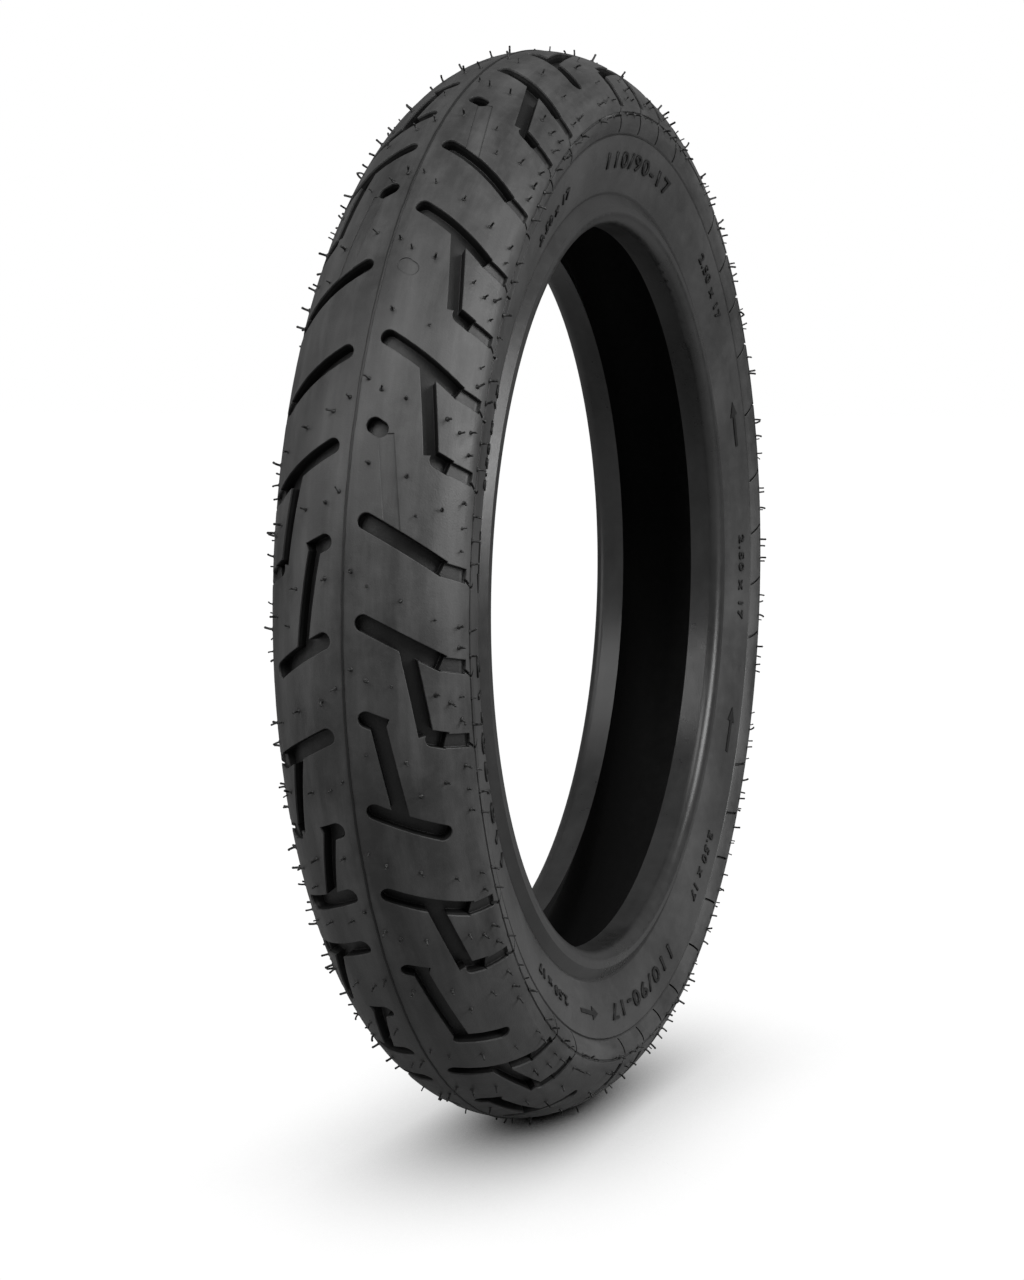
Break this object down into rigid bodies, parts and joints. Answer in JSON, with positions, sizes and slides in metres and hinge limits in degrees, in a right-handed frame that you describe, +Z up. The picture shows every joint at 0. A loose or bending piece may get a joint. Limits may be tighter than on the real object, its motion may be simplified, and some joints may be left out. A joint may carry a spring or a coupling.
{
  "type": "motorcycle tyre",
  "caption": "Bias-ply motorcycle tyre with a round block tread, vent spews, plain sidewalls and wire beads, ready to fit on a rim.",
  "frame": {"origin": "centre of the tyre, on the wheel's spin axis and in its middle plane", "axes": "+Y along the spin axis towards the left side of the tyre, +Z up, +X across; the tyre would stand on its tread at z = -0.319 m"},
  "size_m": [0.6466, 0.1188, 0.6423],
  "materials": {
    "tread_rubber": "satin, worn-in moulded tread rubber",
    "sidewall_rubber": "satin, moulded sidewall rubber",
    "bead_rubber": "smooth, slightly glossy rubber against the rim",
    "liner_rubber": "matt black inner liner",
    "base_rubber": "matt black, soft",
    "filler_rubber": "matt black, hard",
    "gum": "matt, coats the bead wires",
    "casing_cord": "rubbered nylon cord",
    "breaker_cord": "rubbered nylon cord",
    "chafer_cloth": "rubbered square-woven cloth",
    "bead_wire": "bronze-coated steel wire"
  },
  "bodies": {
    "root": {"tread_cap": "tread_rubber", "tread_base": "base_rubber", "breaker_outer": "breaker_cord", "breaker_inner": "breaker_cord", "carcass_ply_outer": "casing_cord", "carcass_ply_inner": "casing_cord", "inner_liner": "liner_rubber", "sidewall_left": "sidewall_rubber", "rim_cushion_left": "bead_rubber", "chafer_left": "chafer_cloth", "bead_filler_left": "filler_rubber", "bead_wrap_left": "chafer_cloth", "bead_insulation_left": "gum", "bead_wires_left": "bead_wire", "tread_spews_left": "tread_rubber", "edge_spews_left": "tread_rubber", "flank_spews_left": "tread_rubber", "sidewall_right": "sidewall_rubber", "rim_cushion_right": "bead_rubber", "chafer_right": "chafer_cloth", "bead_filler_right": "filler_rubber", "bead_wrap_right": "chafer_cloth", "bead_insulation_right": "gum", "bead_wires_right": "bead_wire", "tread_spews_right": "tread_rubber", "edge_spews_right": "tread_rubber", "flank_spews_right": "tread_rubber"}
  },
  "joints": []
}
